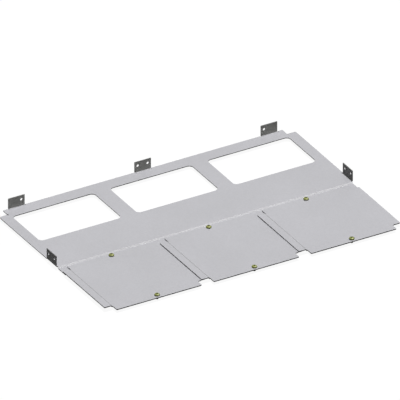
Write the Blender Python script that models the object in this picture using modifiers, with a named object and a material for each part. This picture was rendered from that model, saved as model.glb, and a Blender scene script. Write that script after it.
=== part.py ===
"""Enclosure bottom panel: a folded back plate that carries three overlapping gland plates.

The back plate is one sheet. It has three windows with rounded corners, five tabs bent up at its
back and side edges, and a joggle along its front that steps down into a lip. The gland plates lie
on that lip with their upper faces level with the back plate, and the raised left flange of each
one lies over the right edge of the next. Six screws hold them, the back three in clinch nuts
under the lip. The panel lies flat, X along its width and Y towards its back, and rests on the
ends of its screws at Z = 0.
"""

import math
from collections import namedtuple

import bmesh
import bpy
from mathutils import Matrix, Vector

# Driving dimensions, in metres
SEAT_GAP = 0.0003            # air left wherever one piece seats on another

# Bays: one window, one gland plate and two screws each
BAY_NAMES = ("left", "middle", "right")
BAY_PITCH = 0.1965

# Back plate
BACK_SHEET = 0.0015          # thickness of the sheet
BACK_MARGIN = 0.0045         # each side edge, out from the outer bays
BACK_DEPTH = 0.218           # flat part, from the crest of the joggle to the back edge
LIP_INSET = 0.0018           # each end of the lip is set in from the side
LIP_UNDERLAP = 0.0055        # lip carried on under the main area of the gland plates
NOTCH_WIDTH = 0.017          # notch in each back corner, along X
NOTCH_DEPTH = 0.0167         # along Y
CORNER_HOLE_DIAMETER = 0.003  # relief hole in the inner corner of each notch
CORNER_HOLE_INSET = 0.0012   # its centre in front of the notch
CORNER_RADIUS = 0.0018       # outer corners of the sheets

# Windows
WINDOW_WEB = 0.0315          # sheet left between one window and the next
WINDOW_DEPTH = 0.099
WINDOW_RADIUS = 0.008
WINDOW_MARGIN = 0.0265       # sheet left between a window and the back edge

# Tabs
TAB_WIDTH = 0.033
TAB_HEIGHT = 0.0205          # top of a tab above the back plate's upper face
TAB_BEND_RADIUS = 0.0012     # inside the bend
TAB_PROUD = 0.0005           # outer face of a tab beyond the edge it stands on
TAB_INSET = 0.04425          # centre of each outer back tab, in from the side edge
TAB_HOLE_DIAMETER = 0.005
TAB_HOLE_HEIGHT = 0.0121     # centre of a hole above the upper face
TAB_HOLE_PITCH = 0.020
RELIEF_WIDTH = 0.0014        # slot beside each end of a bend
RELIEF_DEPTH = 0.001         # slot carried on past the bend line

# Gland plates
PLATE_SHEET = 0.002          # thickness of the sheet
PLATE_DEPTH = 0.144          # main area, between the tongues
TONGUE_GAP = 0.0245          # between the tongue of one plate and the next
TONGUE_LENGTH = 0.015
TONGUE_CLEARANCE = 0.0035    # from the foot of the joggle to the back tongue
TONGUE_FILLET = 0.004        # inner corner beside each tongue, away from the flange
PLATE_INSET = 0.0005         # last plate's right edge, in from the back plate's side
FLANGE_OVERLAP = 0.009       # raised flange over the right edge of the next plate
FLANGE_CLEARANCE = 0.0005    # from the left end of a tongue to the foot of the flange
FLANGE_PROUD = 0.0018        # flange carried on past the front edge of the main area
MARGIN_SETBACK = 0.0012      # margin under the next plate's flange, held back from that edge

# Joggles, in the back plate and in the flanges
JOGGLE_RADIUS = 0.00075      # inside each bend
JOGGLE_ANGLE = math.radians(45)

# Screws
SCREW_DIAMETER = 0.005
SCREW_LENGTH = 0.0076        # under the head
SCREW_INSET = 0.0065         # from the end of a back tongue to the screw's axis
FRONT_SCREW_INSET = 0.0077   # the same on a front tongue
HOLE_CLEARANCE = 0.0003      # round the screw, all the way
TIP_CHAMFER = 0.0006
HEAD_DIAMETER = 0.010
HEAD_HEIGHT = 0.0036
HEAD_RIM = 0.0010            # straight side below the dome
RECESS_SPAN = 0.0050         # cross recess, from end to end
RECESS_WIDTH = 0.0015
RECESS_DEPTH = 0.0026
RECESS_TAPER = 0.45          # span at the bottom of the recess, as a share of the top

# Clinch nuts
NUT_DIAMETER = 0.0095
NUT_HEIGHT = 0.0031
NUT_COLLAR_DIAMETER = 0.0070
NUT_CHAMFER = 0.0005

# Smoothness
BEND_STEPS = 4               # facets in each 45 degree bend
TAB_BEND_STEPS = 6
HOLE_SIDES = 24
TURNED_SIDES = 32
CORNER_STEPS = 6
DOME_STEPS = 7
FLAT_ANGLE = math.radians(0.5)   # faces that meet at less than this are one field
UPRIGHT = 0.999              # upward share of an upright edge's direction
SQUARE = 0.1                 # share along one another of two directions that are square

# Colours and finishes: red, green and blue in linear light, roughness, metallic
ZINC = ((0.54, 0.54, 0.565), 0.42, 0.7)
YELLOW_PASSIVATED = ((0.42, 0.43, 0.10), 0.35, 0.8)
PLAIN_ZINC = ((0.40, 0.40, 0.42), 0.40, 0.8)

UP = Vector((0.0, 0.0, 1.0))


def joggle_angle(rise, sheet):
    """Angle of a joggle, less than the usual one only where its bends alone make the rise."""
    radii = 2 * JOGGLE_RADIUS + sheet
    return min(JOGGLE_ANGLE, math.acos(max(-1.0, 1 - rise / radii)))


def joggle_run(rise, sheet):
    """Length of a joggle in plan, from its foot to its crest."""
    radii = 2 * JOGGLE_RADIUS + sheet
    angle = joggle_angle(rise, sheet)
    slope = (rise - radii * (1 - math.cos(angle))) / math.sin(angle)
    return radii * math.sin(angle) + slope * math.cos(angle)


# Heights, from the floor up
PLATE_RISE = PLATE_SHEET + SEAT_GAP
BELOW_TOP = max(SCREW_LENGTH - SEAT_GAP, PLATE_RISE + BACK_SHEET + SEAT_GAP + NUT_HEIGHT)
TOP = BELOW_TOP
LIP_TOP = TOP - PLATE_RISE
LIP_BOTTOM = LIP_TOP - BACK_SHEET
FLANGE_TOP = TOP + PLATE_RISE

# Places along Y, with the origin halfway along the whole depth
BACK_RUN = joggle_run(PLATE_RISE, BACK_SHEET)
WHOLE_DEPTH = TAB_PROUD + BACK_DEPTH + BACK_RUN + TONGUE_CLEARANCE + 2 * TONGUE_LENGTH + PLATE_DEPTH
BACK_EDGE = WHOLE_DEPTH / 2 - TAB_PROUD
CREST = BACK_EDGE - BACK_DEPTH
FOOT = CREST - BACK_RUN
TONGUE_BACK = FOOT - TONGUE_CLEARANCE
MAIN_BACK = TONGUE_BACK - TONGUE_LENGTH
MAIN_FRONT = MAIN_BACK - PLATE_DEPTH
TONGUE_FRONT = MAIN_FRONT - TONGUE_LENGTH
LIP_FRONT = MAIN_BACK - LIP_UNDERLAP
WINDOW_CENTRE = BACK_EDGE - WINDOW_MARGIN - WINDOW_DEPTH / 2
SCREW_ROWS = {"back": TONGUE_BACK - SCREW_INSET, "front": TONGUE_FRONT + FRONT_SCREW_INSET}

# Places along X
SIDE_EDGE = len(BAY_NAMES) * BAY_PITCH / 2 + BACK_MARGIN
BAY_CENTRES = {name: (i - (len(BAY_NAMES) - 1) / 2) * BAY_PITCH for i, name in enumerate(BAY_NAMES)}
WINDOW_WIDTH = BAY_PITCH - WINDOW_WEB
TONGUE_WIDTH = BAY_PITCH - TONGUE_GAP
TAB_SPACING = SIDE_EDGE - TAB_INSET
PLATE_RIGHT = SIDE_EDGE - PLATE_INSET - BAY_CENTRES[BAY_NAMES[-1]]
PLATE_LEFT = PLATE_RIGHT - BAY_PITCH - FLANGE_OVERLAP
FLANGE_FOOT = -TONGUE_WIDTH / 2 - FLANGE_CLEARANCE
FLANGE_FRONT = MAIN_FRONT - FLANGE_PROUD
MARGIN_LEFT = PLATE_RIGHT - FLANGE_OVERLAP - SEAT_GAP
MARGIN_FRONT = MAIN_FRONT + MARGIN_SETBACK

# A tab stands at the edge that faces `outward`; `centre` and the holes run along that edge
Tab = namedtuple("Tab", "outward edge centre holes")
SIDE_TAB_CENTRE = CREST + RELIEF_WIDTH + TAB_WIDTH / 2
TABS = (
    Tab(Vector((0, 1, 0)), BACK_EDGE, -TAB_SPACING, (0.5,)),
    Tab(Vector((0, 1, 0)), BACK_EDGE, 0.0, (-0.5, 0.5)),
    Tab(Vector((0, 1, 0)), BACK_EDGE, TAB_SPACING, (-0.5,)),
    Tab(Vector((-1, 0, 0)), SIDE_EDGE, SIDE_TAB_CENTRE, (-0.5, 0.5)),
    Tab(Vector((1, 0, 0)), SIDE_EDGE, SIDE_TAB_CENTRE, (-0.5, 0.5)),
)


def clear_scene():
    for ob in list(bpy.data.objects):
        bpy.data.objects.remove(ob, do_unlink=True)


def new_collection(name):
    collection = bpy.data.collections.new(name)
    bpy.context.scene.collection.children.link(collection)
    return collection


def object_from_bmesh(name, bm, collection):
    mesh = bpy.data.meshes.new(name)
    bm.to_mesh(mesh)
    bm.free()
    ob = bpy.data.objects.new(name, mesh)
    collection.objects.link(ob)
    return ob


def shade(ob, finish):
    """Smooth the round faces and give the object a material of its own."""
    colour, roughness, metallic = finish
    material = bpy.data.materials.new(ob.name)
    material.use_nodes = True
    surface = material.node_tree.nodes["Principled BSDF"]
    surface.inputs["Base Color"].default_value = (*colour, 1.0)
    surface.inputs["Roughness"].default_value = roughness
    surface.inputs["Metallic"].default_value = metallic
    ob.data.materials.append(material)
    ob.data.shade_smooth()
    ob.data.set_sharp_from_angle(angle=math.radians(30))


def cutter(name, bm):
    ob = object_from_bmesh(name, bm, cutters)
    ob.hide_render = True
    ob.display_type = "WIRE"
    return ob


def cut(ob, tool):
    boolean = ob.modifiers.new(tool.name, "BOOLEAN")
    boolean.operation = "DIFFERENCE"
    boolean.solver = "EXACT"
    boolean.object = tool


def apply_modifiers(ob):
    seen = ob.evaluated_get(bpy.context.evaluated_depsgraph_get())
    mesh = bpy.data.meshes.new_from_object(seen)
    ob.modifiers.clear()
    ob.data = mesh


def finished_mesh(ob):
    """The mesh of an object with its modifiers applied; the object itself is removed."""
    apply_modifiers(ob)
    mesh = ob.data
    bpy.data.objects.remove(ob, do_unlink=True)
    return mesh


def add_cylinder(bm, radius, length, centre, axis=UP):
    turn = UP.rotation_difference(axis).to_matrix().to_4x4()
    bmesh.ops.create_cone(bm, cap_ends=True, segments=HOLE_SIDES, radius1=radius, radius2=radius,
                          depth=length, matrix=Matrix.Translation(centre) @ turn)


def add_rounded_box(bm, size, radius, centre):
    """A box whose upright edges are rounded."""
    box = bmesh.ops.create_cube(bm, size=1.0)
    bmesh.ops.scale(bm, vec=size, verts=box["verts"])
    bmesh.ops.translate(bm, vec=centre, verts=box["verts"])
    edges = {edge for vert in box["verts"] for edge in vert.link_edges}
    upright = [edge for edge in edges if abs(edge.verts[0].co.z - edge.verts[1].co.z) > size[2] / 2]
    bmesh.ops.bevel(bm, geom=upright, offset=radius, offset_type="OFFSET", segments=CORNER_STEPS,
                    profile=0.5, affect="EDGES", material=-1)


def joggle_points(foot, low, rise, sheet, towards):
    """Upper face of a joggle from its foot to its crest, as (place along, height) pairs."""
    angle = joggle_angle(rise, sheet)
    crest = foot + towards * joggle_run(rise, sheet)
    inner = JOGGLE_RADIUS
    outer = JOGGLE_RADIUS + sheet
    points = []
    for i in range(BEND_STEPS + 1):
        turned = angle * i / BEND_STEPS
        points.append((foot + towards * inner * math.sin(turned), low + inner * (1 - math.cos(turned))))
    for i in range(BEND_STEPS + 1):
        left = angle * (1 - i / BEND_STEPS)
        points.append((crest - towards * outer * math.sin(left), low + rise - outer * (1 - math.cos(left))))
    return points


def stations(values):
    """Sorted values, without those that fall on one another."""
    kept = []
    for value in sorted(values):
        if not kept or value - kept[-1] > 1e-6:
            kept.append(value)
    return kept


def folded_sheet(profile, lines, place):
    """Open upper face of a sheet: a folded profile, extruded from line to line across it.

    `profile` holds (along, height) pairs and `place` turns (along, across, height) into a point.
    """
    bm = bmesh.new()
    verts = [bm.verts.new(place(along, lines[0], height)) for along, height in profile]
    edges = [bm.edges.new(pair) for pair in zip(verts, verts[1:])]
    for start, end in zip(lines, lines[1:]):
        step = place(0.0, end - start, 0.0)
        grown = bmesh.ops.extrude_edge_only(bm, edges=edges)["geom"]
        moved = [item for item in grown if isinstance(item, bmesh.types.BMVert)]
        bmesh.ops.translate(bm, vec=step, verts=moved)
        edges = [item for item in grown if isinstance(item, bmesh.types.BMEdge)
                 and item.verts[0] in moved and item.verts[1] in moved]
    bm.normal_update()
    if sum(face.normal.z for face in bm.faces) < 0:
        bmesh.ops.reverse_faces(bm, faces=bm.faces[:])
    return bm


def trim(bm, is_outside):
    """Remove the fields of a sheet that lie outside its blank."""
    fields = [face for face in bm.faces if is_outside(face.calc_center_median())]
    bmesh.ops.delete(bm, geom=fields, context="FACES")


def thicken(ob, sheet, inner_radius=0.0, across=(), along=()):
    """Give the upper face its sheet below, and round its corners.

    The flat fields that this leaves are divided at the places `across` (in X) and `along` (in Y).
    """
    solidify = ob.modifiers.new("Sheet", "SOLIDIFY")
    solidify.thickness = sheet
    solidify.offset = -1.0
    solidify.use_even_offset = True
    solidify.use_quality_normals = True
    apply_modifiers(ob)
    bm = bmesh.new()
    bm.from_mesh(ob.data)
    bmesh.ops.dissolve_limit(bm, angle_limit=FLAT_ANGLE, verts=bm.verts[:], edges=bm.edges[:])
    round_corners(bm, True, CORNER_RADIUS)
    if inner_radius:
        round_corners(bm, False, inner_radius)
    for x in across:
        divide(bm, Vector((x, 0.0, 0.0)), Vector((1.0, 0.0, 0.0)))
    for y in along:
        divide(bm, Vector((0.0, y, 0.0)), Vector((0.0, 1.0, 0.0)))
    bm.to_mesh(ob.data)
    bm.free()


def divide(bm, place, normal):
    whole = bm.verts[:] + bm.edges[:] + bm.faces[:]
    bmesh.ops.bisect_plane(bm, geom=whole, dist=1e-6, plane_co=place, plane_no=normal)


def edge_direction(edge):
    return (edge.verts[1].co - edge.verts[0].co).normalized()


def is_square_corner(edge, radius):
    """Whether an upright edge is a square corner of the blank with room for a radius."""
    if abs(edge_direction(edge).z) < UPRIGHT:
        return False
    if abs(edge.link_faces[0].normal.dot(edge.link_faces[1].normal)) > SQUARE:
        return False
    reach = [side.calc_length() for face in edge.link_faces for side in face.edges
             if abs(edge_direction(side).z) < SQUARE]
    return bool(reach) and min(reach) > radius + CORNER_RADIUS


def round_corners(bm, outer, radius):
    """Round the outer or the inner corners of a sheet."""
    bm.normal_update()
    corners = [edge for edge in bm.edges
               if edge.is_convex == outer and is_square_corner(edge, radius)]
    bmesh.ops.bevel(bm, geom=corners, offset=radius, offset_type="OFFSET",
                    segments=CORNER_STEPS, profile=0.5, affect="EDGES", material=-1)


def bend_line(tab):
    """Distance of a tab's bend line from the origin, measured outward."""
    return tab.edge + TAB_PROUD - BACK_SHEET - TAB_BEND_RADIUS


def along_edge(tab, point):
    """Place of a point along the edge that a tab stands on."""
    return point.x if tab.outward.y else point.y


def in_tab_pocket(tab, point):
    """Whether the blank is cut away here, beside a tab or outside its bend."""
    aside = abs(along_edge(tab, point) - tab.centre)
    out = point.dot(tab.outward)
    if aside > TAB_WIDTH / 2 + RELIEF_WIDTH or out < bend_line(tab) - RELIEF_DEPTH:
        return False
    return aside > TAB_WIDTH / 2 or out > bend_line(tab)


def outside_back_blank(point):
    side = abs(point.x)
    if point.y < CREST and side > SIDE_EDGE - LIP_INSET:
        return True
    if point.y > BACK_EDGE - NOTCH_DEPTH and side > SIDE_EDGE - NOTCH_WIDTH:
        return True
    return any(in_tab_pocket(tab, point) for tab in TABS)


def raise_tab(bm, tab):
    """Bend a tab up from its root and carry it on to its full height."""
    line = bend_line(tab)

    def on_root(vert):
        return (abs(vert.co.dot(tab.outward) - line) < 1e-6
                and abs(along_edge(tab, vert.co) - tab.centre) < TAB_WIDTH / 2 + 1e-6)

    root = [edge for edge in bm.edges if all(on_root(vert) for vert in edge.verts)]
    axis = tab.outward.cross(UP)
    centre = tab.outward * line + UP * (TOP + TAB_BEND_RADIUS)
    bend = bmesh.ops.spin(bm, geom=root, cent=centre, axis=axis, angle=math.pi / 2,
                          steps=TAB_BEND_STEPS, use_duplicate=False)["geom_last"]
    tip = [item for item in bend if isinstance(item, bmesh.types.BMEdge)]
    upper = bmesh.ops.extrude_edge_only(bm, edges=tip)["geom"]
    moved = [item for item in upper if isinstance(item, bmesh.types.BMVert)]
    bmesh.ops.translate(bm, vec=UP * (TAB_HEIGHT - TAB_BEND_RADIUS), verts=moved)


def tab_end_stations(tab):
    half = TAB_WIDTH / 2
    return [tab.centre + side * reach for side in (-1, 1) for reach in (half, half + RELIEF_WIDTH)]


def tab_depth_stations(tab):
    return [bend_line(tab), bend_line(tab) - RELIEF_DEPTH]


def build_back_plate():
    """One folded sheet: lip, joggle, flat part with its windows, and the five tabs."""
    back_tabs = [tab for tab in TABS if tab.outward.y]
    side_tabs = [tab for tab in TABS if tab.outward.x]

    flat = [BACK_EDGE, BACK_EDGE - NOTCH_DEPTH]
    flat += [y for tab in back_tabs for y in tab_depth_stations(tab)]
    flat += [y for tab in side_tabs for y in tab_end_stations(tab) if y > CREST + 1e-6]
    profile = [(LIP_FRONT, LIP_TOP)]
    profile += joggle_points(FOOT, LIP_TOP, PLATE_RISE, BACK_SHEET, 1)
    profile += [(y, TOP) for y in stations(flat)]

    half_lines = [SIDE_EDGE, SIDE_EDGE - NOTCH_WIDTH, SIDE_EDGE - LIP_INSET]
    half_lines += tab_depth_stations(side_tabs[0])
    lines = [side * x for side in (-1, 1) for x in half_lines]
    lines += [x for tab in back_tabs for x in tab_end_stations(tab)]

    bm = folded_sheet(profile, stations(lines), lambda along, across, height: Vector((across, along, height)))
    trim(bm, outside_back_blank)
    for tab in TABS:
        raise_tab(bm, tab)
    bmesh.ops.recalc_face_normals(bm, faces=bm.faces[:])
    bm.normal_update()
    if sum(face.normal.z * face.calc_area() for face in bm.faces) < 0:
        bmesh.ops.reverse_faces(bm, faces=bm.faces[:])
    plate = object_from_bmesh("back_plate", bm, parts)
    thicken(plate, BACK_SHEET)

    windows = bmesh.new()
    size = Vector((WINDOW_WIDTH, WINDOW_DEPTH, 4 * BACK_SHEET))
    for x in BAY_CENTRES.values():
        add_rounded_box(windows, size, WINDOW_RADIUS, Vector((x, WINDOW_CENTRE, TOP - BACK_SHEET / 2)))
    cut(plate, cutter("window_cutter", windows))

    holes = bmesh.new()
    for tab in TABS:
        run = Vector((1, 0, 0)) if tab.outward.y else Vector((0, 1, 0))
        for share in tab.holes:
            centre = tab.outward * (tab.edge + TAB_PROUD - BACK_SHEET / 2)
            centre += run * (tab.centre + share * TAB_HOLE_PITCH)
            centre += UP * (TOP + TAB_HOLE_HEIGHT)
            add_cylinder(holes, TAB_HOLE_DIAMETER / 2, 4 * BACK_SHEET, centre, tab.outward)
    for x in BAY_CENTRES.values():
        centre = Vector((x, SCREW_ROWS["back"], LIP_TOP - BACK_SHEET / 2))
        add_cylinder(holes, NUT_COLLAR_DIAMETER / 2 + SEAT_GAP, 2 * BACK_SHEET, centre)
    for side in (-1, 1):
        centre = Vector((side * (SIDE_EDGE - NOTCH_WIDTH), BACK_EDGE - NOTCH_DEPTH - CORNER_HOLE_INSET,
                         TOP - BACK_SHEET / 2))
        add_cylinder(holes, CORNER_HOLE_DIAMETER / 2, 2 * BACK_SHEET, centre)
    cut(plate, cutter("back_plate_hole_cutter", holes))
    apply_modifiers(plate)
    shade(plate, ZINC)
    return plate


def outside_plate_blank(point, margin_front):
    """Whether the blank is cut away here; the margin on the right starts at `margin_front`."""
    if abs(point.x) < TONGUE_WIDTH / 2:
        return False
    if point.x < 0:
        front = FLANGE_FRONT
    elif point.x < MARGIN_LEFT:
        front = MAIN_FRONT
    else:
        front = margin_front
    return not front < point.y < MAIN_BACK


def build_gland_plate(bay):
    """One sheet with a tongue front and back, and a flange raised by one sheet along its left.

    The right margin is held back under the next plate's flange. The last plate's runs full depth.
    """
    margin_front = MAIN_FRONT if bay == BAY_NAMES[-1] else MARGIN_FRONT
    joggle = joggle_points(FLANGE_FOOT, TOP, PLATE_RISE, PLATE_SHEET, -1)
    profile = [(PLATE_LEFT, FLANGE_TOP)]
    profile += reversed(joggle)
    profile += [(x, TOP) for x in (-TONGUE_WIDTH / 2, TONGUE_WIDTH / 2, MARGIN_LEFT, PLATE_RIGHT)]
    lines = stations([TONGUE_FRONT, FLANGE_FRONT, MAIN_FRONT, margin_front, MAIN_BACK, TONGUE_BACK])

    bm = folded_sheet(profile, lines, lambda along, across, height: Vector((along, across, height)))
    trim(bm, lambda point: outside_plate_blank(point, margin_front))
    plate = object_from_bmesh("gland_plate_" + bay, bm, parts)
    plate.location.x = BAY_CENTRES[bay]
    thicken(plate, PLATE_SHEET, TONGUE_FILLET, across=(MARGIN_LEFT,), along=(MAIN_FRONT, MAIN_BACK))

    holes = bmesh.new()
    for y in SCREW_ROWS.values():
        centre = Vector((BAY_CENTRES[bay], y, TOP - PLATE_SHEET / 2))
        add_cylinder(holes, SCREW_DIAMETER / 2 + HOLE_CLEARANCE, 2 * PLATE_SHEET, centre)
    cut(plate, cutter("gland_plate_hole_cutter_" + bay, holes))
    apply_modifiers(plate)
    shade(plate, ZINC)
    return plate


def turned(name, profile, collection):
    """A round piece: a profile of (radius, height) pairs turned about the Z axis."""
    bm = bmesh.new()
    verts = [bm.verts.new((radius, 0.0, height)) for radius, height in profile]
    for pair in zip(verts, verts[1:]):
        bm.edges.new(pair)
    if profile[0][0] > 0:
        bm.edges.new((verts[-1], verts[0]))
    ob = object_from_bmesh(name, bm, collection)
    screw = ob.modifiers.new("Turn", "SCREW")
    screw.axis = "Z"
    screw.angle = math.tau
    screw.steps = TURNED_SIDES
    screw.render_steps = TURNED_SIDES
    screw.use_merge_vertices = True
    screw.merge_threshold = 0.00001
    return ob


def dome_profile():
    """Outer side of a pan head, a quarter of an ellipse from its crown to its straight side."""
    radius = HEAD_DIAMETER / 2
    height = HEAD_HEIGHT - HEAD_RIM
    points = []
    for i in range(DOME_STEPS + 1):
        angle = math.pi / 2 * i / DOME_STEPS
        points.append((radius * math.sin(angle), HEAD_RIM + height * math.cos(angle)))
    return points


def screw_mesh():
    """Domed screw with a cross recess, its head seated at height 0 and its tip below."""
    shank = SCREW_DIAMETER / 2
    profile = dome_profile()
    profile += [(HEAD_DIAMETER / 2, 0.0), (shank, 0.0), (shank, TIP_CHAMFER - SCREW_LENGTH)]
    profile += [(shank - TIP_CHAMFER, -SCREW_LENGTH), (0.0, -SCREW_LENGTH)]
    blank = turned("screw_blank", profile, cutters)

    recess = bmesh.new()
    for span, width in ((RECESS_SPAN, RECESS_WIDTH), (RECESS_WIDTH, RECESS_SPAN)):
        blade = bmesh.ops.create_cube(recess, size=1.0)["verts"]
        bmesh.ops.scale(recess, vec=(span, width, 2 * RECESS_DEPTH), verts=blade)
        bmesh.ops.translate(recess, vec=(0.0, 0.0, HEAD_HEIGHT), verts=blade)
        low = [vert for vert in blade if vert.co.z < HEAD_HEIGHT]
        bmesh.ops.scale(recess, vec=(RECESS_TAPER, RECESS_TAPER, 1.0), verts=low)
    tool = cutter("recess_cutter", recess)
    cut(blank, tool)
    blank.modifiers[-1].use_self = True
    mesh = finished_mesh(blank)
    return mesh


def nut_mesh():
    """Clinch nut: a round body below height 0 and a collar above it, bored for the screw."""
    bore = SCREW_DIAMETER / 2 + HOLE_CLEARANCE
    body = NUT_DIAMETER / 2
    collar = NUT_COLLAR_DIAMETER / 2
    profile = [(bore, BACK_SHEET), (collar, BACK_SHEET), (collar, 0.0), (body, 0.0)]
    profile += [(body, NUT_CHAMFER - NUT_HEIGHT), (body - NUT_CHAMFER, -NUT_HEIGHT), (bore, -NUT_HEIGHT)]
    return finished_mesh(turned("nut_blank", profile, cutters))


def place_copy(name, mesh, location, finish):
    ob = bpy.data.objects.new(name, mesh.copy())
    ob.location = location
    parts.objects.link(ob)
    shade(ob, finish)
    return ob


clear_scene()
parts = new_collection("enclosure_bottom_panel")
cutters = new_collection("cutters")

build_back_plate()
for bay in BAY_NAMES:
    build_gland_plate(bay)

screw = screw_mesh()
nut = nut_mesh()
for bay, x in BAY_CENTRES.items():
    for row, y in SCREW_ROWS.items():
        place_copy(f"screw_{bay}_{row}", screw, (x, y, TOP + SEAT_GAP), YELLOW_PASSIVATED)
    place_copy("clinch_nut_" + bay, nut, (x, SCREW_ROWS["back"], LIP_BOTTOM - SEAT_GAP), PLAIN_ZINC)
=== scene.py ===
"""Looks of the enclosure bottom panel: galvanised sheets, yellow passivated screws, clinch nuts.

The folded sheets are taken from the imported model, merged and given broken edges. The screws and
nuts are turned here with their threads, recesses and knurls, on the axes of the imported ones.
"""

import math

import bmesh
import bpy
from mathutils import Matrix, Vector
from mathutils.bvhtree import BVHTree


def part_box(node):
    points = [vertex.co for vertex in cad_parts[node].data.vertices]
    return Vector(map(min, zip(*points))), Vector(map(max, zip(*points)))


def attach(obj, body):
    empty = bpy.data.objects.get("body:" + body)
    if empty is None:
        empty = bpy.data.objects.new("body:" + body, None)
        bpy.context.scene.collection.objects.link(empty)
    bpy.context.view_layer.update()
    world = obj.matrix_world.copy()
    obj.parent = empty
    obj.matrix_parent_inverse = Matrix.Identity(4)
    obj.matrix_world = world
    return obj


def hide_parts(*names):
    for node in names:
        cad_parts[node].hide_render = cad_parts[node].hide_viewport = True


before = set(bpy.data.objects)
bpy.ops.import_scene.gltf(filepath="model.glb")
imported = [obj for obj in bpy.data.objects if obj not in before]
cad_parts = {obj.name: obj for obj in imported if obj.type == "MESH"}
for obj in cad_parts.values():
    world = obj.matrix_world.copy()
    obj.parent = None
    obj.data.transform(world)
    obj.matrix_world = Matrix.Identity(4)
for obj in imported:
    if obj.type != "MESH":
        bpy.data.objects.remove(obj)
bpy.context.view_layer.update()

UP = Vector((0.0, 0.0, 1.0))
BAYS = ("left", "middle", "right")
ROWS = ("back", "front")
MERGE = 1e-6                 # points closer than this are one
SHARP_ANGLE = math.radians(30)

# Sheets, in metres
BACK_SHEET = 0.0015
PLATE_SHEET = 0.002
EDGE_BREAK = 0.00012         # sheared edges are never quite sharp
CORNER_ANGLE = math.radians(50)  # edges sharper than this are broken
FLAT_ANGLE = math.radians(0.5)   # faces that meet at less than this are one field
UNDER_SKIN = 0.01            # a ray through a sheet starts this share of it below the face
RAY_REACH = 1.3              # and ends after this many thicknesses
TAB_FOOT = 0.0073            # upper face of the back plate, which the tabs stand on
TAB_TOP = 0.0278
TABS_ONLY = 0.011            # above this height only the tabs are left
HOLES_BELOW = 0.023          # and below this one their holes
SIDEWAYS = 0.1               # least share of a normal along X, on a joggle's slope or a side tab
SQUARE_ON = 0.9              # least share of a normal along Y, on a back tab
LOWER_WALL = 0.05            # least share of a normal upwards, on the lower wall of a hole

# Places of the finishes in a sheet's list of materials
FIELD, CUT, FOLD, BACK_TAB = range(4)

# Zinc: as rolled, and darker copies that are painted shade on the back tabs, on the side tabs and
# on the flanges' joggle slopes
ROLLED = ((0.472, 0.470, 0.493), (0.482, 0.480, 0.505))
BACK_TABS_PAINTED_SHADE = ((0.446, 0.450, 0.418), (0.456, 0.460, 0.428))
SIDE_TABS_PAINTED_SHADE = ((0.150, 0.150, 0.149), (0.154, 0.154, 0.153))
SLOPES_PAINTED_SHADE = ((0.268, 0.268, 0.271), (0.273, 0.272, 0.276))

# Tone of a tab at its foot and at its top: painted shade, darker towards the foot
BACK_TAB_FOOT_SHADE = (0.81, 1.10)
SIDE_TAB_FOOT_SHADE = (0.90, 1.0)

# Patterns are in marks to a metre; each one sways the tone, the roughness or the relief from low
# to high, and a bump is its strength and its depth in metres
CLOUD_EDGES = (0.35, 0.65)   # between these, one colour gives way to the other

# Patterns on the zinc sheets
SHEET_CLOUDS = 9.0
SHEET_CLOUD_TONE = (0.97, 1.03)
CRYSTALS = 420.0
CRYSTAL_TONE = (0.975, 1.025)
CRYSTAL_ROUGHNESS = (0.38, 0.50)
ROLLING_LINES = (18.0, 1400.0, 1400.0)
ROLLING_TONE = (0.985, 1.015)
ROLLING_ROUGHNESS = (-0.05, 0.05)
ROLLING_RELIEF = (0.0, 0.4)
PORES = 2600.0
PORE_RELIEF = (0.0, 0.6)
SHEET_BUMP = (0.15, 0.00003)

# Bare steel on the cuts
STEEL = ((0.14, 0.14, 0.144), (0.20, 0.198, 0.196))
TORN_LINES = (2600.0, 2600.0, 60.0)
TORN_TONE = (0.85, 1.15)
TORN_ROUGHNESS = (0.38, 0.62)
TORN_BUMP = (0.25, 0.00004)
STEEL_PATCHES = 60.0
STEEL_PATCH_TONE = (0.92, 1.08)

# Yellow passivation, green and straw, and the painted shade on it
GREEN_FILM = (0.21, 0.25, 0.065)
STRAW_FILM = (0.27, 0.27, 0.075)
PAINTED_SHADE_COLOUR = (0.045, 0.05, 0.015)
FULL_PAINTED_SHADE = 0.25             # painted shade shares from here up cover the film
FILM_CLOUDS = 420.0
FILM_CLOUD_ROUGHNESS = (0.38, 0.52)
SPECKS = 5200.0
SPECK_TONE = (0.93, 1.07)
SPECK_ROUGHNESS = (-0.04, 0.04)
SPECK_BUMP = (0.15, 0.00002)

# Bright zinc on the nuts
BRIGHT = ((0.36, 0.36, 0.37), (0.46, 0.46, 0.48))
NUT_PATCHES = 700.0
TURNING_LINES = (300.0, 300.0, 5200.0)
TURNING_TONE = (0.9, 1.1)
TURNING_ROUGHNESS = (0.32, 0.50)
TURNING_BUMP = (0.2, 0.00003)

# Screws, M5
SCREW_RADIUS = 0.0025
THREAD_PITCH = 0.0008
THREAD_DEPTH = 0.00045
THREAD_STEPS = 36            # round one turn
THREAD_CREST = THREAD_PITCH / 8
THREAD_TOP = 0.0003          # runs this far up into the head
LEAD_IN = 1.5                # pitches of thread below the tip, cut off again
SPARE_TURNS = 3
SEAM = MERGE * 5             # points of one turn and the next are closer than this
TIP_CHAMFER = 0.0006
TURNED_STEPS = 64            # round a head or a nut
HEAD_HEIGHT = 0.0036
HEAD_RIM = 0.0009            # straight side below the dome
DOME_STEPS = 14
FOOT_RADIUS = 0.00025        # at the foot of the rim
FOOT_STEPS = 5
NECK = 0.9                   # the head is open inside this share of the shank's radius
NECK_DEPTH = 0.0004

# Cross recess
RECESS_SPAN = 0.0052
RECESS_WIDTH = 0.0016
RECESS_DEPTH = 0.0024
RECESS_TAPER = 0.5           # size at the bottom, as a share of the top
CORE_BOTTOM = 0.5            # radii of the pointed centre, as shares of the width
CORE_TOP = 1.6
CORE_STEPS = 24
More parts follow.
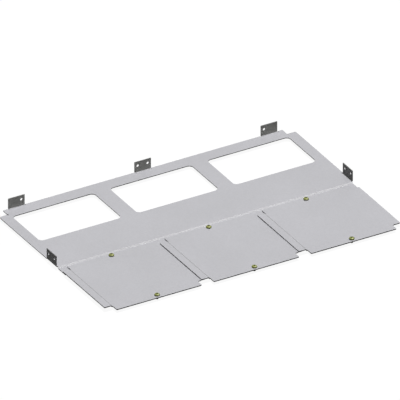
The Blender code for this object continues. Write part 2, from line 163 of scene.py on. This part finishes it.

# Painted shade on the screws, in shares: in the recess, round the rim and its foot, and on the
# thread below the seat
THREAD_PAINTED_SHADE = 0.12
RECESS_REACH = 0.62          # share of the head's radius that holds the recess
RECESS_SUNK = 0.0002         # metres below the dome where the recess begins
CROWN = 0.97                 # share of the height above which no painted shade is put in the recess
RECESS_PAINTED_SHADE = 0.45           # where the recess begins
FULL_SHADE_DEPTH = 0.0015     # metres down in which one whole share is added
RIM_PAINTED_SHADE = 0.13
RIM_START = 0.8              # share of the radius
FOOT_PAINTED_SHADE = 0.08
FOOT_SHADE_HEIGHT = 0.0016

# Clinch nuts
NUT_COLLAR = 0.0035          # radius of the knurled collar, which sits in the lip
NUT_BORE = 0.0027
NUT_CHAMFER = 0.0005
CHAMFER_BULGE = 0.3          # the chamfer's middle stands out to this share of it
BORE_CHAMFER = 0.0003
COLLAR_CHAMFER = 0.0002
NUT_THREAD_DEPTH = 0.00012
KNURL = 0.955                # every second tooth is sunk to this share of the radius

# Floor and studio
FLOOR = -0.0002              # a hair below the screws' tips
FLOOR_SIZE = 6.0
FLOOR_SHADOW = 0.075         # share of the seen floor that light and shadow fall on
FLOOR_WHITE = 0.935          # and the white that is always there
FLOOR_BOUNCE = 0.04          # what the floor sends back up at the object
ROOM_LIGHT = 0.05
OVERHEAD_LEAN = math.radians(2)
OVERHEAD_ANGLE = math.radians(8)
OVERHEAD_STRENGTH = 3.15
OVERHEAD_HEIGHT = 3.0
SHEEN_PLACE = (1.8, -1.3, 3.57)
SHEEN_SIZE = 2.6
SHEEN_WATTS = 620.0

# Camera
VIEW_AZIMUTH = math.radians(-30)
VIEW_ELEVATION = math.radians(30)
VIEW_CENTRE = (0.034533, 0.058114, 0.007603)
VIEW_WIDTH = 0.69952
VIEW_DISTANCE = 2.0
VIEW_END = 20.0


def merged_copy(node):
    """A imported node's mesh with its loose triangles joined."""
    bm = bmesh.new()
    bm.from_mesh(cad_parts[node].data)
    bmesh.ops.remove_doubles(bm, verts=bm.verts[:], dist=MERGE)
    bm.normal_update()
    return bm


def settle_normals(piece):
    """Shading follows the broad faces, so a flat field stays flat up to the bend beside it."""
    weighted = piece.modifiers.new("broad faces first", "WEIGHTED_NORMAL")
    weighted.keep_sharp = True
    weighted.weight = 100
    seen = piece.evaluated_get(bpy.context.evaluated_depsgraph_get())
    mesh = bpy.data.meshes.new_from_object(seen)
    piece.modifiers.clear()
    piece.data = mesh


def finish_piece(name, bm, materials, node):
    """Put the piece in the scene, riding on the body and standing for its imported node."""
    mesh = bpy.data.meshes.new(name)
    bm.to_mesh(mesh)
    bm.free()
    for material in materials:
        mesh.materials.append(material)
    mesh.shade_smooth()
    mesh.set_sharp_from_angle(angle=SHARP_ANGLE)
    piece = bpy.data.objects.new(name, mesh)
    bpy.context.scene.collection.objects.link(piece)
    settle_normals(piece)
    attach(piece, "root")
    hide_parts(node)
    return piece


# Materials


class Finish:
    """A material's node tree, with short ways to add and join nodes."""

    def __init__(self, name, roughness, metallic, shine):
        self.material = bpy.data.materials.new(name)
        self.material.use_nodes = True
        self.tree = self.material.node_tree
        self.surface = self.tree.nodes["Principled BSDF"]
        self.surface.inputs["Roughness"].default_value = roughness
        self.surface.inputs["Metallic"].default_value = metallic
        self.surface.inputs["Specular IOR Level"].default_value = shine
        self.place = self.tree.nodes.new("ShaderNodeTexCoord").outputs["Object"]

    def node(self, kind, **values):
        made = self.tree.nodes.new(kind)
        for key, value in values.items():
            if key in made.inputs:
                made.inputs[key].default_value = value
            else:
                setattr(made, key, value)
        return made

    def join(self, out, into):
        self.tree.links.new(out, into)

    def stretched(self, scale):
        """Object coordinates, drawn out to a grain."""
        mapping = self.node("ShaderNodeMapping", Scale=scale)
        self.join(self.place, mapping.inputs["Vector"])
        return mapping.outputs["Vector"]

    def noise(self, scale, detail=2.0, place=None):
        made = self.node("ShaderNodeTexNoise", Scale=scale, Detail=detail, Roughness=0.5)
        self.join(place or self.place, made.inputs["Vector"])
        return made.outputs["Fac"]

    def lines(self, scale, detail=2.0):
        """Noise drawn out to lines, by marks to a metre along each axis."""
        return self.noise(1.0, detail=detail, place=self.stretched(scale))

    def grains(self, scale):
        """A crystal pattern; each grain has its own shade of grey, 0 to 1."""
        made = self.node("ShaderNodeTexVoronoi", Scale=scale)
        self.join(self.place, made.inputs["Vector"])
        split = self.node("ShaderNodeSeparateColor")
        self.join(made.outputs["Color"], split.inputs["Color"])
        return split.outputs["Red"]

    def height(self):
        split = self.node("ShaderNodeSeparateXYZ")
        self.join(self.place, split.inputs["Vector"])
        return split.outputs["Z"]

    def spread(self, value, low, high, old_low=0.0, old_high=1.0):
        """A value from one range laid out over another."""
        made = self.node("ShaderNodeMapRange")
        self.join(value, made.inputs["Value"])
        made.inputs["From Min"].default_value = old_low
        made.inputs["From Max"].default_value = old_high
        made.inputs["To Min"].default_value = low
        made.inputs["To Max"].default_value = high
        return made.outputs["Result"]

    def reckoned(self, operation, first, second):
        made = self.node("ShaderNodeMath", operation=operation)
        self.join(first, made.inputs[0])
        self.join(second, made.inputs[1])
        return made.outputs["Value"]

    def times(self, first, second):
        return self.reckoned("MULTIPLY", first, second)

    def plus(self, first, second):
        return self.reckoned("ADD", first, second)

    def blended(self, share, first, second):
        """Colour between two, each a colour or another node's output."""
        made = self.node("ShaderNodeMix", data_type="RGBA")
        self.join(share, made.inputs["Factor"])
        for socket, colour in ((made.inputs[6], first), (made.inputs[7], second)):
            if isinstance(colour, tuple):
                socket.default_value = (*colour, 1.0)
            else:
                self.join(colour, socket)
        return made.outputs[2]

    def clouded(self, clouds, first, second):
        """Two colours in clouds with soft edges."""
        return self.blended(self.spread(clouds, 0.0, 1.0, *CLOUD_EDGES), first, second)

    def colour(self, tint, tone):
        """The surface's colour: a tint made lighter or darker by a tone round 1."""
        made = self.node("ShaderNodeVectorMath", operation="SCALE")
        self.join(tint, made.inputs[0])
        self.join(tone, made.inputs["Scale"])
        self.join(made.outputs["Vector"], self.surface.inputs["Base Color"])

    def roughness(self, out):
        self.join(out, self.surface.inputs["Roughness"])

    def bump(self, height, strength, distance):
        made = self.node("ShaderNodeBump", Strength=strength, Distance=distance)
        self.join(height, made.inputs["Height"])
        self.join(made.outputs["Normal"], self.surface.inputs["Normal"])


def galvanised_sheet(name, tints, shine=0.2, foot_shade=None):
    """Zinc coated sheet: fine crystal grain, faint cloudiness and rolling lines along its length.

    A tab can be darker towards its foot, as painted shade: the last argument is its tone there and
    at its top.
    """
    zinc = Finish(name, roughness=0.45, metallic=0.0, shine=shine)
    clouds = zinc.noise(SHEET_CLOUDS, detail=3.0)
    crystals = zinc.grains(CRYSTALS)
    rolling = zinc.lines(ROLLING_LINES, detail=3.0)
    pores = zinc.noise(PORES)
    tone = zinc.times(zinc.spread(clouds, *SHEET_CLOUD_TONE), zinc.spread(crystals, *CRYSTAL_TONE))
    tone = zinc.times(tone, zinc.spread(rolling, *ROLLING_TONE))
    # painted shade: the tab darker towards its foot
    if foot_shade:
        tone = zinc.times(tone, zinc.spread(zinc.height(), *foot_shade, TAB_FOOT, TAB_TOP))
    zinc.colour(zinc.clouded(clouds, *tints), tone)
    zinc.roughness(zinc.plus(zinc.spread(crystals, *CRYSTAL_ROUGHNESS),
                             zinc.spread(rolling, *ROLLING_ROUGHNESS)))
    zinc.bump(zinc.plus(zinc.spread(pores, *PORE_RELIEF), zinc.spread(rolling, *ROLLING_RELIEF)),
              *SHEET_BUMP)
    return zinc.material


def sheared_edge():
    """Cut side of a sheet: bare steel in rubbed and torn patches, with fine upright lines."""
    steel = Finish("sheared_edge", roughness=0.5, metallic=0.0, shine=0.15)
    lines = steel.lines(TORN_LINES, detail=3.0)
    patches = steel.noise(STEEL_PATCHES, detail=3.0)
    tone = steel.times(steel.spread(lines, *TORN_TONE), steel.spread(patches, *STEEL_PATCH_TONE))
    steel.colour(steel.blended(patches, *STEEL), tone)
    steel.roughness(steel.spread(lines, *TORN_ROUGHNESS))
    steel.bump(lines, *TORN_BUMP)
    return steel.material


def yellow_passivated():
    """Zinc with yellow passivation: green and straw clouds, darkened with painted shade in its
    corners.
    """
    film = Finish("yellow_passivated", roughness=0.42, metallic=0.05, shine=0.2)
    clouds = film.noise(FILM_CLOUDS, detail=3.0)
    specks = film.noise(SPECKS)
    # the painted shade attribute darkens the film
    painted_shade = film.node("ShaderNodeAttribute", attribute_name="painted_shade").outputs["Fac"]
    painted_shade = film.spread(painted_shade, 0.0, 1.0, 0.0, FULL_PAINTED_SHADE)
    tint = film.blended(painted_shade, film.clouded(clouds, GREEN_FILM, STRAW_FILM), PAINTED_SHADE_COLOUR)
    film.colour(tint, film.spread(specks, *SPECK_TONE))
    film.roughness(film.plus(film.spread(clouds, *FILM_CLOUD_ROUGHNESS),
                             film.spread(specks, *SPECK_ROUGHNESS)))
    film.bump(specks, *SPECK_BUMP)
    return film.material


def plain_zinc():
    """Bright zinc on the clinch nuts, with turning lines."""
    zinc = Finish("plain_zinc", roughness=0.4, metallic=0.6, shine=0.5)
    lines = zinc.lines(TURNING_LINES)
    patches = zinc.noise(NUT_PATCHES)
    zinc.colour(zinc.blended(patches, *BRIGHT), zinc.spread(lines, *TURNING_TONE))
    zinc.roughness(zinc.spread(lines, *TURNING_ROUGHNESS))
    zinc.bump(lines, *TURNING_BUMP)
    return zinc.material


# Sheets


def mark_cuts(bm, sheet):
    """Field or cut: from a thin side, the far side is further than the sheet is thick."""
    tree = BVHTree.FromBMesh(bm)
    for face in bm.faces:
        inward = -face.normal
        start = face.calc_center_median() + inward * (sheet * UNDER_SKIN)
        hit = tree.ray_cast(start, inward, sheet * RAY_REACH)
        face.material_index = FIELD if hit[0] is not None else CUT


def mark_folds(bm):
    """The flanges' slopes, the side tabs and the back tabs have darker finishes of their own,
    which are painted shade.
    """
    for face in bm.faces:
        if face.material_index == FIELD and abs(face.normal.x) > SIDEWAYS:
            face.material_index = FOLD
        elif face.material_index == FIELD and abs(face.normal.y) > SQUARE_ON:
            face.material_index = BACK_TAB


def break_edges(bm):
    """A small chamfer along every edge between a broad face and a cut."""
    rims = [edge for edge in bm.edges if len(edge.link_faces) == 2
            and CUT in {face.material_index for face in edge.link_faces}
            and edge.calc_face_angle(0.0) > CORNER_ANGLE]
    bmesh.ops.bevel(bm, geom=rims, offset=EDGE_BREAK, offset_type="OFFSET", segments=1,
                    profile=0.5, affect="EDGES", clamp_overlap=True, material=-1)


def mark_hole_walls(bm):
    """Zinc on the lower walls of the tabs' holes, which were punched before the coating."""
    for face in bm.faces:
        height = face.calc_center_median().z
        lower = face.normal.z > LOWER_WALL and TABS_ONLY < height < HOLES_BELOW
        if face.material_index == CUT and lower:
            face.material_index = FIELD


def dress_sheet(node, sheet, materials):
    """A packed sheet with broken edges, and with each of its surfaces in its own finish."""
    bm = merged_copy(node)
    mark_cuts(bm, sheet)
    mark_folds(bm)
    bmesh.ops.dissolve_limit(bm, angle_limit=FLAT_ANGLE, verts=bm.verts[:],
                             edges=bm.edges[:], delimit={"MATERIAL"})
    break_edges(bm)
    mark_hole_walls(bm)
    return finish_piece(node + "_sheet", bm, materials, node)


# Screws and nuts


def drawn_line(bm, profile):
    """A line through (radius, height) pairs, as the geometry that a spin takes."""
    verts = [bm.verts.new((radius, 0.0, height)) for radius, height in profile]
    edges = [bm.edges.new(pair) for pair in zip(verts, verts[1:])]
    return verts + edges


def turned_shell(profile):
    """A profile turned right round the Z axis, closed and facing out."""
    bm = bmesh.new()
    bmesh.ops.spin(bm, geom=drawn_line(bm, profile), cent=(0.0, 0.0, 0.0), axis=UP,
                   angle=math.tau, steps=TURNED_STEPS, use_merge=True, use_duplicate=False)
    bmesh.ops.remove_doubles(bm, verts=bm.verts[:], dist=MERGE)
    bmesh.ops.recalc_face_normals(bm, faces=bm.faces[:])
    return bm


def threaded_rod(radius, top, bottom):
    """A screw thread between two heights, cut square above and chamfered below."""
    root = radius - THREAD_DEPTH
    bm = bmesh.new()
    start = bottom - LEAD_IN * THREAD_PITCH
    ridge = [(root, 0.0), (root, THREAD_CREST), (radius, THREAD_PITCH / 2 - THREAD_CREST / 2),
             (radius, THREAD_PITCH / 2 + THREAD_CREST / 2), (root, THREAD_PITCH)]
    turns = math.ceil((top - bottom) / THREAD_PITCH) + SPARE_TURNS
    rise = UP * (THREAD_PITCH / THREAD_STEPS)
    bmesh.ops.spin(bm, geom=drawn_line(bm, [(r, start + z) for r, z in ridge]),
                   cent=(0.0, 0.0, 0.0), axis=UP, dvec=rise, angle=math.tau * turns,
                   steps=turns * THREAD_STEPS, use_merge=False, use_duplicate=False)
    bmesh.ops.remove_doubles(bm, verts=bm.verts[:], dist=SEAM)
    for height, normal in ((top, UP), (bottom, -UP)):
        whole = bm.verts[:] + bm.edges[:] + bm.faces[:]
        cut = bmesh.ops.bisect_plane(bm, geom=whole, dist=MERGE, plane_co=UP * height,
                                     plane_no=normal, clear_outer=True)["geom_cut"]
        rim = [item for item in cut if isinstance(item, bmesh.types.BMEdge)]
        bmesh.ops.edgeloop_fill(bm, edges=rim)
    for vert in bm.verts:
        limit = radius - TIP_CHAMFER + max(0.0, vert.co.z - bottom)
        reach = vert.co.xy.length
        if reach > limit:
            vert.co.xy *= limit / reach
    bmesh.ops.recalc_face_normals(bm, faces=bm.faces[:])
    return bm


def pan_head(radius, height, shank):
    """Head profile from the crown out, over the dome and the rim, and under to the neck."""
    points = [(0.0, height)]
    dome = height - HEAD_RIM
    for i in range(1, DOME_STEPS + 1):
        angle = math.pi / 2 * i / DOME_STEPS
        points.append((radius * math.sin(angle), HEAD_RIM + dome * math.cos(angle)))
    for i in range(1, FOOT_STEPS + 1):
        angle = math.pi / 2 * i / FOOT_STEPS
        points.append((radius - FOOT_RADIUS * (1 - math.cos(angle)),
                       FOOT_RADIUS * (1 - math.sin(angle))))
    points.append((shank * NECK, 0.0))
    points.append((shank * NECK, NECK_DEPTH))
    points.append((0.0, NECK_DEPTH))
    return points


def recess_cutter(top):
    """Four tapered wings round a pointed centre."""
    bm = bmesh.new()
    for length, breadth in ((RECESS_SPAN, RECESS_WIDTH), (RECESS_WIDTH, RECESS_SPAN)):
        blade = bmesh.ops.create_cube(bm, size=1.0)["verts"]
        bmesh.ops.scale(bm, vec=(length, breadth, 2 * RECESS_DEPTH), verts=blade)
        bmesh.ops.translate(bm, vec=(0.0, 0.0, top), verts=blade)
        low = [vert for vert in blade if vert.co.z < top]
        bmesh.ops.scale(bm, vec=(RECESS_TAPER, RECESS_TAPER, 1.0), verts=low)
    core = bmesh.ops.create_cone(bm, cap_ends=True, segments=CORE_STEPS,
                                 radius1=RECESS_WIDTH * CORE_BOTTOM,
                                 radius2=RECESS_WIDTH * CORE_TOP, depth=2 * RECESS_DEPTH)["verts"]
    bmesh.ops.translate(bm, vec=(0.0, 0.0, top), verts=core)
    return bm


def cut_away(bm, tool):
    """The bmesh with a tool's shape cut out of it."""
    pair = []
    for name, source in (("blank", bm), ("tool", tool)):
        mesh = bpy.data.meshes.new(name)
        source.to_mesh(mesh)
        source.free()
        pair.append(bpy.data.objects.new(name, mesh))
        bpy.context.scene.collection.objects.link(pair[-1])
    blank, cutter = pair
    boolean = blank.modifiers.new("cut", "BOOLEAN")
    boolean.operation = "DIFFERENCE"
    boolean.solver = "EXACT"
    boolean.use_self = True
    boolean.object = cutter
    seen = blank.evaluated_get(bpy.context.evaluated_depsgraph_get())
    result = bmesh.new()
    result.from_mesh(seen.to_mesh())
    for used in pair:
        bpy.data.objects.remove(used, do_unlink=True)
    bmesh.ops.remove_doubles(result, verts=result.verts[:], dist=MERGE)
    return result


def painted_shade_share(reach, up, radius, height):
    """How much painted shade a screw gets at this distance from its axis and this height over its
    seat.
    """
    if up <= 0:
        return THREAD_PAINTED_SHADE
    dome = height * math.sqrt(max(0.0, 1 - (reach / radius) ** 2))
    sunk = dome - up
    if reach < radius * RECESS_REACH and sunk > RECESS_SUNK and up < height * CROWN:
        return min(1.0, RECESS_PAINTED_SHADE + sunk / FULL_SHADE_DEPTH)
    rim = RIM_PAINTED_SHADE * max(0.0, reach / radius - RIM_START) / (1 - RIM_START)
    foot = FOOT_PAINTED_SHADE * max(0.0, 1 - up / FOOT_SHADE_HEIGHT)
    return rim + foot


def paint_shade_in_corners(bm, radius, height):
    """Painted shade in the recess, round the rim and its foot, and on the thread, kept in a vertex
    attribute.
    """
    layer = bm.verts.layers.float.new("painted_shade")
    for vert in bm.verts:
        vert[layer] = painted_shade_share(vert.co.xy.length, vert.co.z, radius, height)


def joined(first, second):
    """Two bmeshes as one."""
    mesh = bpy.data.meshes.new("joined")
    second.to_mesh(mesh)
    second.free()
    first.from_mesh(mesh)
    bpy.data.meshes.remove(mesh)
    return first


def make_screw(node, material):
    """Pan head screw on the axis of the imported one, with its thread and cross recess."""
    low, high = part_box(node)
    centre = (low + high) / 2
    seat = high.z - HEAD_HEIGHT
    radius = (high.x - low.x) / 2
    height = high.z - seat
    head = turned_shell(pan_head(radius, height, SCREW_RADIUS))
    head = cut_away(head, recess_cutter(height))
    rod = threaded_rod(SCREW_RADIUS, THREAD_TOP, low.z - seat)
    screw = joined(head, rod)
    # painted shade in the screw's recess, round its rim and foot and on its thread
    paint_shade_in_corners(screw, radius, height)
    bmesh.ops.translate(screw, vec=(centre.x, centre.y, seat), verts=screw.verts[:])
    return finish_piece(node + "_turned", screw, [material], node)


def nut_profile(body, bottom):
    """Round the body, up the collar and down the threaded bore."""
    top = BACK_SHEET
    profile = [(NUT_BORE, bottom + BORE_CHAMFER), (NUT_BORE + BORE_CHAMFER, bottom),
               (body - NUT_CHAMFER, bottom),
               (body - NUT_CHAMFER * CHAMFER_BULGE, bottom + NUT_CHAMFER * CHAMFER_BULGE),
               (body, bottom + NUT_CHAMFER), (body, -COLLAR_CHAMFER),
               (body - COLLAR_CHAMFER, 0.0), (NUT_COLLAR + COLLAR_CHAMFER, 0.0),
               (NUT_COLLAR, COLLAR_CHAMFER), (NUT_COLLAR, top - COLLAR_CHAMFER),
               (NUT_COLLAR - COLLAR_CHAMFER, top), (NUT_BORE + BORE_CHAMFER, top),
               (NUT_BORE, top - BORE_CHAMFER)]
    length = top - bottom - 2 * BORE_CHAMFER
    count = round(length / THREAD_PITCH * 2)
    step = length / count
    for i in range(1, count):
        depth = NUT_THREAD_DEPTH if i % 2 else 0.0
        profile.append((NUT_BORE - depth, top - BORE_CHAMFER - i * step))
    profile.append(profile[0])
    return profile


def make_clinch_nut(node, material):
    """Clinch nut: chamfered round body, knurled collar held in the lip, threaded bore."""
    low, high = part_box(node)
    centre = (low + high) / 2
    seat = high.z - BACK_SHEET
    nut = turned_shell(nut_profile((high.x - low.x) / 2, low.z - seat))
    for vert in nut.verts:
        tooth = round(math.atan2(vert.co.y, vert.co.x) / math.tau * TURNED_STEPS)
        if tooth % 2 and abs(vert.co.xy.length - NUT_COLLAR) < MERGE:
            vert.co.xy *= KNURL
    nut.normal_update()
    bmesh.ops.translate(nut, vec=(centre.x, centre.y, seat), verts=nut.verts[:])
    return finish_piece(node + "_turned", nut, [material], node)


# Floor, light and camera


def white_for_view(tree):
    """1 for what only the camera, mirrors and glass see, and 0 for what lights the object."""
    path = tree.nodes.new("ShaderNodeLightPath")
    seen = path.outputs["Is Camera Ray"]
    for name in ("Is Glossy Ray", "Is Transmission Ray"):
        either = tree.nodes.new("ShaderNodeMath")
        either.operation = "MAXIMUM"
        tree.links.new(seen, either.inputs[0])
        tree.links.new(path.outputs[name], either.inputs[1])
        seen = either.outputs["Value"]
    return seen


def mixed_for_view(tree, lighting, view, output):
    """One shader for what lights the object, another for what is seen."""
    mix = tree.nodes.new("ShaderNodeMixShader")
    tree.links.new(white_for_view(tree), mix.inputs["Fac"])
    tree.links.new(lighting, mix.inputs[1])
    tree.links.new(view, mix.inputs[2])
    tree.links.new(mix.outputs["Shader"], output.inputs["Surface"])


def floor_material():
    """Seen, a white floor that keeps the object's shadow; for the light, a dull one."""
    material = bpy.data.materials.new("floor")
    material.use_nodes = True
    tree = material.node_tree
    tree.nodes.clear()
    pale = tree.nodes.new("ShaderNodeBsdfDiffuse")
    pale.inputs["Color"].default_value = (FLOOR_SHADOW, FLOOR_SHADOW, FLOOR_SHADOW, 1.0)
    white = tree.nodes.new("ShaderNodeEmission")
    white.inputs["Strength"].default_value = FLOOR_WHITE
    both = tree.nodes.new("ShaderNodeAddShader")
    tree.links.new(pale.outputs["BSDF"], both.inputs[0])
    tree.links.new(white.outputs["Emission"], both.inputs[1])
    dull = tree.nodes.new("ShaderNodeBsdfDiffuse")
    dull.inputs["Color"].default_value = (FLOOR_BOUNCE, FLOOR_BOUNCE, FLOOR_BOUNCE, 1.0)
    output = tree.nodes.new("ShaderNodeOutputMaterial")
    mixed_for_view(tree, dull.outputs["BSDF"], both.outputs["Shader"], output)
    return material


def make_floor():
    bm = bmesh.new()
    bmesh.ops.create_grid(bm, x_segments=1, y_segments=1, size=FLOOR_SIZE)
    bmesh.ops.translate(bm, vec=(0.0, 0.0, FLOOR), verts=bm.verts[:])
    mesh = bpy.data.meshes.new("floor")
    bm.to_mesh(mesh)
    bm.free()
    mesh.materials.append(floor_material())
    floor = bpy.data.objects.new("floor", mesh)
    bpy.context.scene.collection.objects.link(floor)


def make_world():
    """A dim white room to light by, and full white to look at."""
    world = bpy.data.worlds.new("studio")
    bpy.context.scene.world = world
    world.use_nodes = True
    tree = world.node_tree
    room = tree.nodes["Background"]
    room.inputs["Color"].default_value = (1.0, 1.0, 1.0, 1.0)
    room.inputs["Strength"].default_value = ROOM_LIGHT
    white = tree.nodes.new("ShaderNodeBackground")
    white.inputs["Color"].default_value = (1.0, 1.0, 1.0, 1.0)
    mixed_for_view(tree, room.outputs["Background"], white.outputs["Background"],
                   tree.nodes["World Output"])


def aimed(thing, place, towards):
    """An object in the scene at a place, with its back towards a direction."""
    made = bpy.data.objects.new(thing.name, thing)
    bpy.context.scene.collection.objects.link(made)
    made.location = place
    made.rotation_euler = towards.to_track_quat("Z", "Y").to_euler()
    return made


def overhead_light():
    """A large distant softbox above, leaning a little to the back and to the right."""
    light = bpy.data.lights.new("overhead", "SUN")
    light.angle = OVERHEAD_ANGLE
    light.energy = OVERHEAD_STRENGTH
    towards = Vector((math.tan(OVERHEAD_LEAN), math.tan(OVERHEAD_LEAN), 1.0))
    aimed(light, towards * OVERHEAD_HEIGHT, towards)


def front_sheen():
    """A softbox that is there for the gloss alone."""
    light = bpy.data.lights.new("front_sheen", "AREA")
    light.size = SHEEN_SIZE
    light.energy = SHEEN_WATTS
    lamp = aimed(light, SHEEN_PLACE, Vector(SHEEN_PLACE))
    lamp.visible_camera = False
    lamp.visible_diffuse = False


def make_camera():
    """Orthographic view from the front left, 30 degrees up."""
    level = math.cos(VIEW_ELEVATION)
    away = Vector((math.sin(VIEW_AZIMUTH) * level, -math.cos(VIEW_AZIMUTH) * level,
                   math.sin(VIEW_ELEVATION)))
    camera = bpy.data.cameras.new("camera")
    camera.type = "ORTHO"
    camera.ortho_scale = VIEW_WIDTH
    camera.clip_end = VIEW_END
    place = Vector(VIEW_CENTRE) + away * VIEW_DISTANCE
    bpy.context.scene.camera = aimed(camera, place, away)


field = galvanised_sheet("zinc_sheet", ROLLED)
cut = sheared_edge()
# darker copies of the zinc for the side tabs, the back tabs and the flanges' slopes: painted shade
side_tab = galvanised_sheet("side_tab_zinc_painted_shade", SIDE_TABS_PAINTED_SHADE, shine=0.15, foot_shade=SIDE_TAB_FOOT_SHADE)
back_tab = galvanised_sheet("back_tab_zinc_painted_shade", BACK_TABS_PAINTED_SHADE, foot_shade=BACK_TAB_FOOT_SHADE)
slope = galvanised_sheet("slope_zinc_painted_shade", SLOPES_PAINTED_SHADE)
dress_sheet("back_plate", BACK_SHEET, [field, cut, side_tab, back_tab])
for bay in BAYS:
    dress_sheet("gland_plate_" + bay, PLATE_SHEET, [field, cut, slope])

film = yellow_passivated()
bright = plain_zinc()
for bay in BAYS:
    for row in ROWS:
        make_screw(f"screw_{bay}_{row}", film)
    make_clinch_nut("clinch_nut_" + bay, bright)

make_floor()
make_world()
overhead_light()
front_sheen()
make_camera()
bpy.context.scene.view_settings.view_transform = "Standard"
